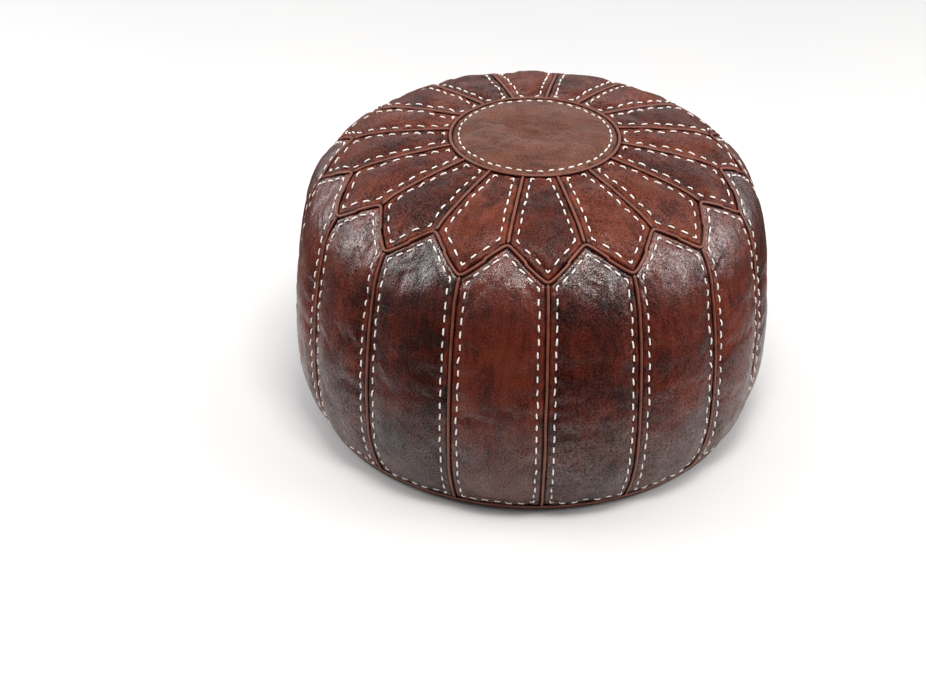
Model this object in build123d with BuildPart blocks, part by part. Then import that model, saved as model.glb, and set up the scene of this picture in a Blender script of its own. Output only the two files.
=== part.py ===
"""A stuffed Moroccan leather pouf: a drum-shaped stool 550 mm across and 350 mm high.

The cover is sewn from a round disc, sixteen pointed petals, sixteen gabled side panels and a
two-piece base. Corded welts fill every seam, and a zip across the base closes the cover over a
cotton lining packed with textile wadding.

Origin at the centre of the footprint on the floor, +Z up, zip along X. Millimetres.
"""

from build123d import *
from math import acos, atan2, cos, degrees, hypot, radians, sin
import os

# ---------------------------------------------------------------- driving dimensions
HEIGHT = 350
PANELS = 16  # petals round the disc, and side panels below them
PITCH = 360 / PANELS  # degrees from one seam to the next
FRONT = -90  # the -Y direction, where the first petal seam lies

SKIN = 2.4  # leather with its glued canvas backing
CORD_RADIUS = 2.0  # welt cord in every seam
PANEL_CLEARANCE = 0.2  # between a panel's edge and the welt beside it
SEAM_GAP = CORD_RADIUS + PANEL_CLEARANCE  # from a seam's centre line to a panel's edge

# Outline of the stuffed cover from the crown down to the base welt, as arcs that run smoothly
# into one another, each with its radius and the degrees it turns through
OUTLINE_ARCS = (
    (933, 11.4),  # crown
    (96.9, 66.2),  # shoulder
    (646, 15.5),  # side
    (172.5, 26.9),  # heel
)
DISC_SEAM_RADIUS = 96
PEAK_RADIUS = 209  # where two petals and one side panel meet
VALLEY_RADIUS = 244  # tip of a petal, where two side panels meet
WELT_CLEARANCE = 0.3  # between a welt's end and the welt it runs up to
MITRE_GAP = 0.1  # from a petal's seam plane to the mitred end of its point welt

# Base and zip
BASE_FLAT = 238  # radius of the flat that stands on the floor
BASE_TURN_UP = (18, 41)  # radius and degrees of the base's rim, which turns up to the base welt
TROUGH = (182, 22, 8)  # half length, half width and height of the hollow that hides the zip
TROUGH_TAPER = 45
TROUGH_ENDS = 0.95  # corner radius of the trough, as a share of its half width
SLOT = (158, 5.5)  # half length and half width of the slot between the base halves
BASE_SEAM_GAP = 0.4  # between the halves, beyond the ends of the slot
TAPE = (155, 13.5, 0.6)  # half length, outer edge and thickness of a zip tape
TAPE_INNER_EDGE = 2.0
TAPE_CLEARANCE = 0.1
TAPE_BED = TROUGH[2] + SKIN + TAPE_CLEARANCE  # underside of the tapes
TEETH_SPAN = 147  # half length of a row of teeth
TOOTH_PITCH = 3.0
TOOTH = (1.8, 2.7, 2.8)  # size along, across and up
TOOTH_TIP = 0.6  # length of a tooth's inner edge, as a share of its whole length
TOOTH_EDGE = 0.5  # from the zip's centre plane to a row of teeth
STOP_LENGTH = 3.0
STOP_GAP = 0.5  # between the end of a row of teeth and its stop
STOP_CORNER = 0.4
SLIDER_LENGTH = 14
SLIDER_SIDES = 0.5  # length of the slider's straight sides, as a share of its whole length
SLIDER_REST = TEETH_SPAN - SLIDER_LENGTH / 2 - 1  # slider's centre with the zip shut
SLIDER_WIDTH = 9.4
LOWER_BLADE, UPPER_BLADE = 1.7, 1.4  # thickness of the slider's plates below and above the teeth
SLIDER_FLANGE = 1.2
FLANGE_CLEARANCE = 0.2  # between a flange and the tape
SLIDER_WEB = (8, 0.6)  # length and width of the web between the two rows of teeth
BLADE_CLEARANCE = 0.3
BAIL = (8.2, 2.4, 3.0)  # arch that holds the pull tab: length, width and drop
BAIL_BAR = 1.2
TAB = (26, 7, 1.2)  # pull tab: length, width and thickness
TAB_WINDOW = (7.4, 3.6)
TAB_CORNER = 2.4
TAB_BAR_LENGTH = 5.4  # round bar at the tab's end, which the tab swings on

# Lining and filling
LINING_DEPTH = 3.0  # from the outside of the cover
LINING_CLOTH = 1.0
FILLING_GAP = 0.6  # between the lining and the wadding
FILLING_DEPTH = LINING_DEPTH + LINING_CLOTH + FILLING_GAP
LINING_TROUGH = (187, 27, 15)  # hollow in the lining over the zip
FILL_SLOT = (140, 6)  # half length and half width of the slit that takes the wadding


# ---------------------------------------------------------------- the cover's shape
def outline_stretches():
    """Each arc of the outline as (way from the crown to its start, centre, radius, heading)."""
    stretches = []
    way, heading = 0.0, 0.0
    centre = (0.0, HEIGHT)
    radius_before = 0.0
    for radius, turn in OUTLINE_ARCS:
        step = radius - radius_before
        centre = (centre[0] + step * sin(heading), centre[1] - step * cos(heading))
        stretches.append((way, centre, radius, heading))
        way += radius * radians(turn)
        heading -= radians(turn)
        radius_before = radius
    return stretches, way


STRETCHES, BASE_WAY = outline_stretches()


def on_outline(way, lift=0.0):
    """(radius, height) at a length of way down the outline from the crown, lifted off the cover."""
    start, centre, radius, heading = [each for each in STRETCHES if each[0] <= way + 1e-9][-1]
    turned_to = heading - (way - start) / radius
    reach = radius + lift
    return centre[0] - reach * sin(turned_to), centre[1] + reach * cos(turned_to)


def on_cover(way, angle, lift=0.0):
    """The point that far down the cover, turned to an angle and lifted off it."""
    radius, height = on_outline(way, lift)
    return Vector(radius * cos(radians(angle)), radius * sin(radians(angle)), height)


def way_to(radius):
    """How far down the outline from the crown it reaches a radius, above the belly."""
    low, high = 0.0, BASE_WAY / 2
    for _ in range(40):
        middle = (low + high) / 2
        low, high = (middle, high) if on_outline(middle)[0] < radius else (low, middle)
    return low


DISC_WAY = way_to(DISC_SEAM_RADIUS)
PEAK_WAY = way_to(PEAK_RADIUS)
VALLEY_WAY = way_to(VALLEY_RADIUS)


def outline_arcs(start, end):
    """The arcs between two lengths from the crown, each as (centre, radius, heading, turn)."""
    arcs = []
    ends = [each[0] for each in STRETCHES[1:]] + [BASE_WAY]
    for (begin, centre, radius, heading), finish in zip(STRETCHES, ends):
        first, last = max(start, begin), min(end, finish)
        if last > first:
            heading_there = degrees(heading - (first - begin) / radius)
            arcs.append((centre, radius, heading_there, degrees((last - first) / radius)))
    return arcs


def draw_outline(start, end, lift=0.0):
    """Add that stretch of the outline, lifted off the cover, to the line being built."""
    for centre, radius, heading, turn in outline_arcs(start, end):
        CenterArc(centre, radius + lift, heading + 90, -turn)


def zigzag_plane(shift=0.0, turn=1):
    """The plane through one side of a petal's point, square to the cover, from the tip at angle 0
    to the peak half a pitch away on the side that turn gives. Its normal points down the cover."""
    tip = on_cover(VALLEY_WAY, 0)
    peak = on_cover(PEAK_WAY, turn * PITCH / 2)
    middle = (PEAK_WAY + VALLEY_WAY) / 2
    outward = on_cover(middle, turn * PITCH / 4, 1) - on_cover(middle, turn * PITCH / 4)
    normal = (peak - tip).cross(outward).normalized() * turn
    return Plane(origin=tip + normal * shift, z_dir=normal)


def zigzag_angle(way, turn=1):
    """The angle at which the zigzag seam crosses the cover at a length from the crown."""
    plane = zigzag_plane(0, turn)
    normal, offset = plane.z_dir, plane.z_dir.dot(plane.origin)
    radius, height = on_outline(way)
    cosine = (offset - normal.Z * height) / (radius * hypot(normal.X, normal.Y))
    return degrees(atan2(normal.Y, normal.X)) - turn * degrees(acos(min(1.0, cosine)))


# ---------------------------------------------------------------- helpers
def save(shape, name):
    """Write one piece, labelled, as its own STEP file."""
    shape.label = name
    export_step(shape, f"parts/{name}.step")


def turned(shape, angle):
    """A copy of a piece turned about the vertical axis."""
    return shape.rotate(Axis.Z, angle)


def save_round(shape, name, first_angle):
    """Write one piece per panel, each in its own file, numbered from the front."""
    for number in range(PANELS):
        save(turned(shape, first_angle + number * PITCH), f"{name}_{number + 1:02d}")


def ring_of(shape, first_angle):
    """One compound of a piece repeated at every panel."""
    return Compound(children=[turned(shape, first_angle + n * PITCH) for n in range(PANELS)])


def skin_part(start, end, angle=360):
    """The cover's skin between two lengths from the crown, revolved, centred on angle 0."""
    with BuildPart() as skin:
        with BuildSketch(Plane.XZ.rotated((0, 0, -angle / 2))):
            with BuildLine():
                draw_outline(start, end)
                draw_outline(start, end, -SKIN)
                Line(on_outline(start), on_outline(start, -SKIN))
                Line(on_outline(end), on_outline(end, -SKIN))
            make_face()
        revolve(axis=Axis.Z, revolution_arc=angle)
    return skin.part


def trim_sides():
    """Cut a sector back from the seams on both sides of it, to leave room for the cords."""
    for turn in (1, -1):
        inward = Vector(sin(radians(PITCH / 2)), -turn * cos(radians(PITCH / 2)), 0)
        split(bisect_by=Plane(origin=inward * SEAM_GAP, z_dir=inward), keep=Keep.TOP)


# ---------------------------------------------------------------- cover panels
def make_top_disc():
    """Round medallion at the crown."""
    return skin_part(0, DISC_WAY - SEAM_GAP)


def make_petal():
    """Pointed petal between the disc and the zigzag seam."""
    sector = skin_part(DISC_WAY + SEAM_GAP, VALLEY_WAY, PITCH)
    with BuildPart() as petal:
        add(sector)
        trim_sides()
        for turn in (1, -1):
            split(bisect_by=zigzag_plane(-SEAM_GAP, turn), keep=Keep.BOTTOM)
    return petal.part


def make_side_panel():
    """Gabled panel from the zigzag seam down to the base welt, centred on a petal seam."""
    sector = skin_part(PEAK_WAY, BASE_WAY - SEAM_GAP, PITCH)
    with BuildPart() as panel:
        add(sector)
        trim_sides()
        for turn in (1, -1):
            cut = zigzag_plane(SEAM_GAP, turn)
            origin = cut.origin.rotate(Axis.Z, -turn * PITCH / 2)
            normal = cut.z_dir.rotate(Axis.Z, -turn * PITCH / 2)
            split(bisect_by=Plane(origin=origin, z_dir=normal), keep=Keep.TOP)
    return panel.part


# ---------------------------------------------------------------- welts
def make_ring_welt(radius, height):
    """Closed cord that lies level."""
    with BuildPart() as welt:
        with BuildSketch(Plane.XZ):
            with Locations((radius, height)):
                Circle(CORD_RADIUS)
        revolve(axis=Axis.Z)
    return welt.part


def make_straight_welt(start, end):
    """Cord in a seam that runs straight down the cover, between two lengths from the crown."""
    with BuildPart() as welt:
        for centre, radius, heading, turn in outline_arcs(start, end):
            along = Vector(cos(radians(heading)), 0, sin(radians(heading)))
            outward = Vector(-along.Z, 0, along.X)
            pivot = Vector(centre[0], 0, centre[1])
            with BuildSketch(Plane(origin=pivot + outward * radius, z_dir=along)):
                Circle(CORD_RADIUS)
            revolve(axis=Axis(pivot, (0, 1, 0)), revolution_arc=turn)
    return welt.part


def make_point_welt():
    """Cord round one petal's point, from peak to peak, cut square to meet its neighbours."""
    ways = (VALLEY_WAY, (PEAK_WAY + VALLEY_WAY) / 2, PEAK_WAY)
    leg = ThreePointArc(*[on_cover(way, zigzag_angle(way)) for way in ways])
    pivot = leg.arc_center
    outward, along = (leg @ 0 - pivot).normalized(), (leg % 0).normalized()
    spare = 2 * CORD_RADIUS / leg.radius  # run past both ends, in radians, to be cut off
    start = pivot + (outward * cos(spare) - along * sin(spare)) * leg.radius
    heading = along * cos(spare) + outward * sin(spare)
    swept = degrees(leg.length / leg.radius + 2 * spare)
    inward = Vector(sin(radians(PITCH / 2)), -cos(radians(PITCH / 2)), 0)
    with BuildPart() as welt:
        with BuildSketch(Plane(origin=start, z_dir=heading)):
            Circle(CORD_RADIUS)
        revolve(axis=Axis(pivot, outward.cross(along)), revolution_arc=swept)
        split(bisect_by=Plane(origin=inward * MITRE_GAP, z_dir=inward), keep=Keep.TOP)
        split(bisect_by=Plane(origin=(0, 0, 0), z_dir=(0, 1, 0)), keep=Keep.TOP)
        mirror(about=Plane.XZ)
    return welt.part


# ---------------------------------------------------------------- base and zip
def frustum(half_length, half_width, height):
    """A tapered block on the floor, from which the zip's trough is shaped."""
    with BuildPart() as block:
        with BuildSketch():
            RectangleRounded(2 * half_length, 2 * half_width, half_width * TROUGH_ENDS)
        extrude(amount=height, taper=TROUGH_TAPER)
    return block.part


def grown(size, wall):
    """The sizes of a frustum that stands an even wall outside a smaller one."""
    slant = wall / cos(radians(TROUGH_TAPER))
    return size[0] + slant, size[1] + slant, size[2] + wall


def make_base_half(side):
    """Half of the base, on the side (-1 front, 1 back), with its share of the zip's trough."""
    hump = frustum(*grown(TROUGH, SKIN))
    trough = frustum(*TROUGH)
    radius, turn = BASE_TURN_UP
    with BuildPart() as half:
        with BuildSketch(Plane.XZ):
            with BuildLine():
                Polyline((BASE_FLAT, 0), (0, 0), (0, SKIN), (BASE_FLAT, SKIN))
                outside = CenterArc((BASE_FLAT, radius), radius, -90, turn)
                inside = CenterArc((BASE_FLAT, radius), radius - SKIN, -90, turn)
                Line(outside @ 1, inside @ 1)
            make_face()
        revolve(axis=Axis.Z)
        add(hump)
        add(trough, mode=Mode.SUBTRACT)
        Box(2 * SLOT[0], 2 * SLOT[1], 4 * TROUGH[2], mode=Mode.SUBTRACT)
        middle = Plane(origin=(0, side * BASE_SEAM_GAP / 2, 0), z_dir=(0, side, 0))
        split(bisect_by=middle, keep=Keep.TOP)
    return half.part


def make_zip_tape(side):
    """Woven tape sewn on the inside of one base half."""
    half_length, outer_edge, thickness = TAPE
    width = outer_edge - TAPE_INNER_EDGE
    with BuildPart() as tape:
        with BuildSketch(Plane.XY.offset(TAPE_BED)):
            with Locations((0, side * (TAPE_INNER_EDGE + width / 2))):
                Rectangle(2 * half_length, width)
        extrude(amount=thickness)
    return tape.part


def zip_plane():
    """The level plane through the middle of the teeth."""
    return Plane.XY.offset(TAPE_BED + TAPE[2] / 2)


def make_tooth(side):
    """One tooth, clamped on the edge of its tape, narrower where it meets the other row."""
    length, width, height = TOOTH
    with BuildPart() as tooth:
        with BuildSketch(zip_plane()):
            with BuildLine():
                inner, outer = side * TOOTH_EDGE, side * (TOOTH_EDGE + width)
                tip = length * TOOTH_TIP
                Polyline(
                    (-tip / 2, inner),
                    (tip / 2, inner),
                    (length / 2, (inner + outer) / 2),
                    (length / 2, outer),
                    (-length / 2, outer),
                    (-length / 2, (inner + outer) / 2),
                    close=True,
                )
            make_face()
        extrude(amount=height / 2, both=True)
    return tooth.part


def make_teeth(side):
    """A row of teeth. The rows stand half a pitch apart along the zip."""
    tooth = make_tooth(side)
    start = -TEETH_SPAN + TOOTH_PITCH * (1 if side > 0 else 0.5)
    count = int((2 * TEETH_SPAN - TOOTH_PITCH) / TOOTH_PITCH)
    places = [Pos(start + TOOTH_PITCH * number, 0, 0) for number in range(count)]
    return Compound(children=[place * tooth for place in places])


def make_zip_stops():
    """Four stops that end the rows of teeth."""
    height = TOOTH[2]
    across = TOOTH_EDGE + TOOTH[1] / 2
    reach = TEETH_SPAN + STOP_LENGTH / 2 + STOP_GAP
    with BuildPart() as stops:
        with Locations(zip_plane()):
            with GridLocations(2 * reach, 2 * across, 2, 2):
                Box(STOP_LENGTH, TOOTH[1], height)
        fillet(stops.edges().filter_by(Axis.Z), radius=STOP_CORNER)
    return stops.part


def slider_underside():
    """Height of the slider's lower face, under the teeth."""
    return TAPE_BED + TAPE[2] / 2 - TOOTH[2] / 2 - BLADE_CLEARANCE - LOWER_BLADE


def make_zip_slider():
    """Two blades round the teeth, joined by a web, with an arch below for the pull tab."""
    half_teeth = TOOTH[2] / 2 + BLADE_CLEARANCE
    middle = TAPE_BED + TAPE[2] / 2
    bottom = slider_underside()
    blades = ((bottom, LOWER_BLADE), (middle + half_teeth, UPPER_BLADE))
    flange_height = half_teeth - TAPE[2] / 2 - FLANGE_CLEARANCE
    flange_y = SLIDER_WIDTH / 2 - SLIDER_FLANGE / 2
    bail_length, bail_width, bail_drop = BAIL
    with BuildPart() as slider:
        for start, thickness in blades:
            with BuildSketch(Plane.XY.offset(start)):
                with Locations((SLIDER_REST, 0)):
                    SlotOverall(SLIDER_LENGTH, SLIDER_WIDTH)
                    Rectangle(SLIDER_LENGTH * SLIDER_SIDES, SLIDER_WIDTH)
            extrude(amount=thickness)
        for height in (middle - half_teeth + flange_height / 2, middle + half_teeth - flange_height / 2):
            with Locations((SLIDER_REST, 0, height)):
                with GridLocations(1, 2 * flange_y, 1, 2):
                    Box(SLIDER_LENGTH * SLIDER_SIDES, SLIDER_FLANGE, flange_height)
        with Locations((SLIDER_REST, 0, middle)):
            Box(SLIDER_WEB[0], SLIDER_WEB[1], 2 * half_teeth)
        with Locations((SLIDER_REST, 0, bottom - bail_drop / 2)):
            Box(bail_length, bail_width, bail_drop)
            with Locations((0, 0, BAIL_BAR / 2)):
                Box(
                    bail_length - 2 * BAIL_BAR,
                    bail_width,
                    bail_drop - BAIL_BAR,
                    mode=Mode.SUBTRACT,
                )
    return slider.part


def tab_axis_height():
    """Height of the bar that the pull tab swings on, in the middle of the arch's opening."""
    return slider_underside() - (BAIL[2] - BAIL_BAR) / 2


def make_zip_pull_tab():
    """Flat tab with a window whose round end bar lies in the slider's arch."""
    length, width, thickness = TAB
    window_length, window_width = TAB_WINDOW
    axis_height = tab_axis_height()
    plate_length = length - thickness / 2
    with BuildPart() as tab:
        with BuildSketch(Plane.XY.offset(axis_height - thickness / 2)):
            with Locations((SLIDER_REST - plate_length / 2, 0)):
                RectangleRounded(plate_length, width, TAB_CORNER)
            with Locations((SLIDER_REST - window_length / 2, 0)):
                Rectangle(window_length, window_width, mode=Mode.SUBTRACT)
        extrude(amount=thickness)
        with Locations((SLIDER_REST, 0, axis_height)):
            Cylinder(thickness / 2, TAB_BAR_LENGTH, rotation=(90, 0, 0))
    return tab.part


# ---------------------------------------------------------------- lining and filling
def stuffed_body(depth):
    """Everything inside the cover at a depth below its outside, flat underneath."""
    with BuildPart() as body:
        with BuildSketch(Plane.XZ):
            with BuildLine():
                draw_outline(0, BASE_WAY, -depth)
                rim, crown = on_outline(BASE_WAY, -depth), on_outline(0, -depth)
                Polyline(rim, (BASE_FLAT, depth), (0, depth), crown)
            make_face()
        revolve(axis=Axis.Z)
    return body.part


def make_inner_lining():
    """Cotton bag inside the leather, with a slit over the zip to take the wadding."""
    outside = stuffed_body(LINING_DEPTH)
    inside = stuffed_body(LINING_DEPTH + LINING_CLOTH)
    hollow = frustum(*LINING_TROUGH)
    hump = frustum(*grown(LINING_TROUGH, LINING_CLOTH))
    with BuildPart() as bag:
        add(inside)
        add(hump, mode=Mode.SUBTRACT)
    room = bag.part
    with BuildPart() as lining:
        add(outside)
        add(hollow, mode=Mode.SUBTRACT)
        add(room, mode=Mode.SUBTRACT)
        Box(2 * FILL_SLOT[0], 2 * FILL_SLOT[1], 4 * LINING_TROUGH[2], mode=Mode.SUBTRACT)
    return lining.part


def make_filling():
    """Packed textile wadding that fills the lining."""
    stuffing = stuffed_body(FILLING_DEPTH)
    hump = frustum(*grown(LINING_TROUGH, LINING_CLOTH + FILLING_GAP))
    with BuildPart() as filling:
        add(stuffing)
        add(hump, mode=Mode.SUBTRACT)
    return filling.part


# ---------------------------------------------------------------- the whole pouf
def main():
    os.makedirs("parts", exist_ok=True)
    petal_front = FRONT + PITCH / 2  # the first petal stands just right of the front seam

    save(make_top_disc(), "top_disc")
    save_round(make_petal(), "top_petal", petal_front)
    save_round(make_side_panel(), "side_panel", FRONT)

    save(make_ring_welt(*on_outline(DISC_WAY)), "disc_welt")
    clear = CORD_RADIUS + WELT_CLEARANCE
    corner = 1.5 * CORD_RADIUS + WELT_CLEARANCE  # a mitred corner stands out further than the cord
    petal_welt = make_straight_welt(DISC_WAY + clear, PEAK_WAY - corner)
    save(ring_of(petal_welt, FRONT), "petal_seam_welts")
    save(ring_of(make_point_welt(), petal_front), "point_welts")
    side_welt = make_straight_welt(VALLEY_WAY + corner, BASE_WAY - clear)
    save(ring_of(side_welt, petal_front), "side_seam_welts")
    save(make_ring_welt(*on_outline(BASE_WAY)), "base_welt")

    for side, name in ((-1, "front"), (1, "back")):
        save(make_base_half(side), f"base_half_{name}")
        save(make_zip_tape(side), f"zip_tape_{name}")
        save(make_teeth(side), f"zip_teeth_{name}")
    save(make_zip_stops(), "zip_stops")
    save(make_zip_slider(), "zip_slider")
    save(make_zip_pull_tab(), "zip_pull_tab")

    save(make_inner_lining(), "inner_lining")
    save(make_filling(), "filling")


if __name__ == "__main__":
    main()
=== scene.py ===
"""A stuffed leather pouf, dressed over its CAD frame: puffed panels, corded welts, waxed thread, the
zip underneath, and a pale studio round it. Metres and radians, in the frame's own axes."""

import math

import bmesh
import bpy
import numpy as np
from mathutils import Matrix, Vector


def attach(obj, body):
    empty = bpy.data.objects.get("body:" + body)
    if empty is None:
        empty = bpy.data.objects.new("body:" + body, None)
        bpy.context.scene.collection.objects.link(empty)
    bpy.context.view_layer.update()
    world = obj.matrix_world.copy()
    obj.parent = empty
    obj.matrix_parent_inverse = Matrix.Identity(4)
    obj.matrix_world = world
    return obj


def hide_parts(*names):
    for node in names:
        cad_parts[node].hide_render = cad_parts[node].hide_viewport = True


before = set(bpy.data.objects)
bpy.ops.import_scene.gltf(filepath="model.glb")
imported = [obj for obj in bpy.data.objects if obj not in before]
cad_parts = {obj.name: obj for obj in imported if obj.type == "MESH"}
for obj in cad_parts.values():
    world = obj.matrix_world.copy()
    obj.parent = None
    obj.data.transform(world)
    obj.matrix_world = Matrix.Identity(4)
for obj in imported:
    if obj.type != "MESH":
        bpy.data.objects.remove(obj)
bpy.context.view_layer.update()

MM = 0.001
PANELS = 16
PITCH = 2 * math.pi / PANELS
HALF = PITCH / 2
FRONT = -math.pi / 2  # the first petal seam lies on -Y

CORD = 1.75 * MM  # radius of a welt
TUCK = 0.7 * MM  # from a seam's centre line to the folded edge of a panel
SKIN = 2.0 * MM  # thickness of the leather sheets
SINK = -3.4 * MM  # seams lie this far under the frame's surface, so that the panels can puff

STITCH_PITCH = 14.6 * MM
STITCH_LENGTH = 9.4 * MM
STITCH_INSET = 9.5 * MM  # from a seam to the row of stitches beside it
PETAL_HEM = 7 * MM  # from the disc's seam to the row that closes a petal's top
SIDE_HEM = 8.5 * MM  # from the base's seam to the row that closes a side panel
DISC_INSET = 9.6 * MM
DISC_STITCHES = 46
DISC_STITCH_LENGTH = 7.4 * MM

rng = np.random.default_rng(7)


def full_turn(count):
    """Angles spaced evenly round a full turn."""
    return np.arange(count) * 2 * math.pi / count


def bell(off, width):
    return np.exp(-((off / width) ** 2))


# ------------------------ the frame's shape
def node_points(name):
    """The vertices of a CAD node."""
    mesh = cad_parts[name].data
    flat = np.empty(len(mesh.vertices) * 3)
    mesh.vertices.foreach_get("co", flat)
    return flat.reshape(-1, 3)


def on_meridian(points):
    """Points as (radius, height)."""
    return np.column_stack([np.hypot(points[:, 0], points[:, 1]), points[:, 2]])


def cord_centre(name, angle=None):
    """(radius, height) of a cord's centre line, all round or where it passes an angle."""
    points = node_points(name)
    if angle is not None:
        off = np.angle(np.exp(1j * (np.arctan2(points[:, 1], points[:, 0]) - angle)))
        points = points[np.abs(off) < 0.01]
    return on_meridian(points).mean(axis=0)


LOWEST_LEAN = -0.58  # direction of the cover's outside just above the base welt, in radians
CORNER_SPACING = 4 * MM  # at least this far between the points read off the frame


def read_meridian():
    """The cover's outside, from the crown to the base welt, as (radius, height) every millimetre."""
    cover = np.vstack([on_meridian(node_points(n)) for n in ("top_disc", "top_petal_01", "side_panel_01")])
    corners = [np.array([0.0, cover[:, 1].max()])]
    for lean in np.linspace(math.pi / 2, LOWEST_LEAN, 900):
        far = cover[np.argmax(cover @ (math.cos(lean), math.sin(lean)))]
        if np.hypot(*(far - corners[-1])) > CORNER_SPACING:
            corners.append(far)
    corners.append(cord_centre("base_welt"))
    corners = np.array(corners)
    knots = np.r_[0, np.cumsum(np.hypot(*np.diff(corners, axis=0).T))]
    slopes = np.gradient(corners, knots, axis=0)
    slopes[0] = (1, 0)
    ways = np.arange(0, knots[-1], MM)
    span = np.clip(np.searchsorted(knots, ways, side="right") - 1, 0, len(knots) - 2)
    width = np.diff(knots)[span][:, None]
    t = (ways - knots[span])[:, None] / width
    return (
        (2 * t**3 - 3 * t**2 + 1) * corners[span]
        + (t**3 - 2 * t**2 + t) * width * slopes[span]
        + (3 * t**2 - 2 * t**3) * corners[span + 1]
        + (t**3 - t**2) * width * slopes[span + 1]
    )


def softened(line, reach):
    """A line of samples, averaged with a bell curve, its ends kept."""
    steps = np.arange(-3 * reach, 3 * reach + 1)
    bell = np.exp(-((steps / reach) ** 2) / 2)
    before = 2 * line[:1] - line[1 : 3 * reach + 1][::-1]
    after = 2 * line[-1:] - line[-3 * reach - 1 : -1][::-1]
    padded = np.concatenate([before, line, after])
    return np.column_stack([np.convolve(padded[:, k], bell / bell.sum(), "valid") for k in (0, 1)])


MERIDIAN = softened(read_meridian(), 5)
WAYS = np.r_[0, np.cumsum(np.hypot(*np.diff(MERIDIAN, axis=0).T))]
SLOPES = np.gradient(MERIDIAN, WAYS, axis=0)
SLOPES /= np.hypot(*SLOPES.T)[:, None]
BASE_WAY = WAYS[-1]


def way_near(spot):
    """How far down the meridian a (radius, height) lies."""
    return WAYS[np.argmin(np.hypot(*(MERIDIAN - spot).T))]


DISC_WAY = way_near(cord_centre("disc_welt"))
PEAK_WAY = way_near(cord_centre("point_welts", FRONT))
VALLEY_WAY = way_near(cord_centre("point_welts", FRONT + HALF))


def radius_at(way):
    return np.interp(way, WAYS, MERIDIAN[:, 0])


def height_at(way):
    return np.interp(way, WAYS, MERIDIAN[:, 1])


def lie(way, angle, lift=0.0, slip=0.0, swing=0.0):
    """Points on the cover: lifted off it, slipped down it, and swung round it."""
    way, angle = np.broadcast_arrays(way, angle)
    out, down = np.interp(way, WAYS, SLOPES[:, 0]), np.interp(way, WAYS, SLOPES[:, 1])
    radius = radius_at(way) - lift * down + slip * out
    height = height_at(way) + lift * out + slip * down
    turned = angle + swing / np.maximum(radius, MM)
    return np.stack([radius * np.cos(turned), radius * np.sin(turned), height], axis=-1)


# ------------------------ seams
GABLE = (VALLEY_WAY - PEAK_WAY) / HALF  # how fast the zigzag seam falls with the angle
GABLE_SLANT = GABLE / radius_at((PEAK_WAY + VALLEY_WAY) / 2)
GABLE_COS = 1 / math.hypot(1, GABLE_SLANT)


def point_way(angle):
    """The zigzag seam below a petal whose centre line is at angle 0."""
    return VALLEY_WAY - GABLE * np.abs(angle)


def gable_way(angle):
    """The zigzag seam above a side panel whose centre line is at angle 0."""
    return PEAK_WAY + GABLE * np.abs(angle)


def seam_distances(kind, way, angle):
    """Distances from points on one panel to each seam round it, the panel centred on angle 0."""
    if kind == "disc":
        return [DISC_WAY - way]
    aside = radius_at(way) * (HALF - np.abs(angle))
    if kind == "petal":
        return [way - DISC_WAY, aside, (point_way(angle) - way) * GABLE_COS]
    below = np.maximum(VALLEY_WAY - way, 0)
    return [np.hypot(aside, below), (way - gable_way(angle)) * GABLE_COS, BASE_WAY - way]


def nearest(distances):
    return np.minimum.reduce([np.maximum(d, 0) for d in distances])


# ------------------------ noise
def lattice(x, y, seed):
    """A random value from -1 to 1 at each whole coordinate."""
    mixed = (x * 374761393 + y * 668265263 + seed * 982451653) & 0xFFFFFFFF
    mixed = ((mixed ^ (mixed >> 13)) * 1274126177) & 0xFFFFFFFF
    return ((mixed ^ (mixed >> 16)) & 0xFFFF) / 32767.5 - 1


def noise(x, y, seed):
    """Smooth noise from -1 to 1, with cells one unit wide."""
    left, low = np.floor(x).astype(np.int64), np.floor(y).astype(np.int64)
    u, v = x - left, y - low
    u, v = u * u * u * (u * (6 * u - 15) + 10), v * v * v * (v * (6 * v - 15) + 10)
    bottom = lattice(left, low, seed) * (1 - u) + lattice(left + 1, low, seed) * u
    top = lattice(left, low + 1, seed) * (1 - u) + lattice(left + 1, low + 1, seed) * u
    return bottom * (1 - v) + top * v


def creases(along, across, seed, cell, stretch, width):
    """Thin curved grooves, 1 in the middle of each, that run mostly the along way."""
    x, y = along / (cell * stretch), across / cell
    x, y = x + 0.35 * noise(x * 1.7, y * 1.7, seed + 11), y + 0.35 * noise(x * 1.7 + 9, y * 1.7, seed + 12)
    value = noise(x, y, seed) + 0.35 * noise(2.1 * x, 2.1 * y, seed + 1)
    return bell(value, width)


# ------------------------ rows of stitches
def lined(corners, step=1.5 * MM):
    """Points along a closed row of (way, side) corners, and the length at which each corner lies."""
    points, marks, total = [], [], 0.0
    for start, end in zip(corners, corners[1:] + corners[:1]):
        marks.append(total)
        length = math.hypot(end[0] - start[0], end[1] - start[1])
        count = max(2, round(length / step))
        for share in np.arange(count) / count:
            points.append([start[0] + (end[0] - start[0]) * share, start[1] + (end[1] - start[1]) * share])
        total += length
    return np.array(points + points[:1]), marks + [total]


def side_line(way):
    """Sideways distance from a panel's centre line to the row beside its seam."""
    return HALF * radius_at(way) - STITCH_INSET


def row_corners(kind):
    """The corners of a panel's closed row of stitches, as (way, side)."""
    drop = STITCH_INSET * math.hypot(1, GABLE_SLANT)
    if kind == "petal":
        top, elbow = DISC_WAY + PETAL_HEM, PEAK_WAY + STITCH_INSET * GABLE_SLANT - drop
        right = [(way, side_line(way)) for way in np.linspace(top, elbow, 4)]
        return right + [(VALLEY_WAY - drop, 0.0)] + [(way, -side) for way, side in right[::-1]]
    elbow, bottom = VALLEY_WAY - STITCH_INSET * GABLE_SLANT + drop, BASE_WAY - SIDE_HEM
    right = [(way, side_line(way)) for way in np.linspace(elbow, bottom, 9)]
    return [(PEAK_WAY + drop, 0.0)] + right + [(way, -side) for way, side in right[::-1]]


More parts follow.
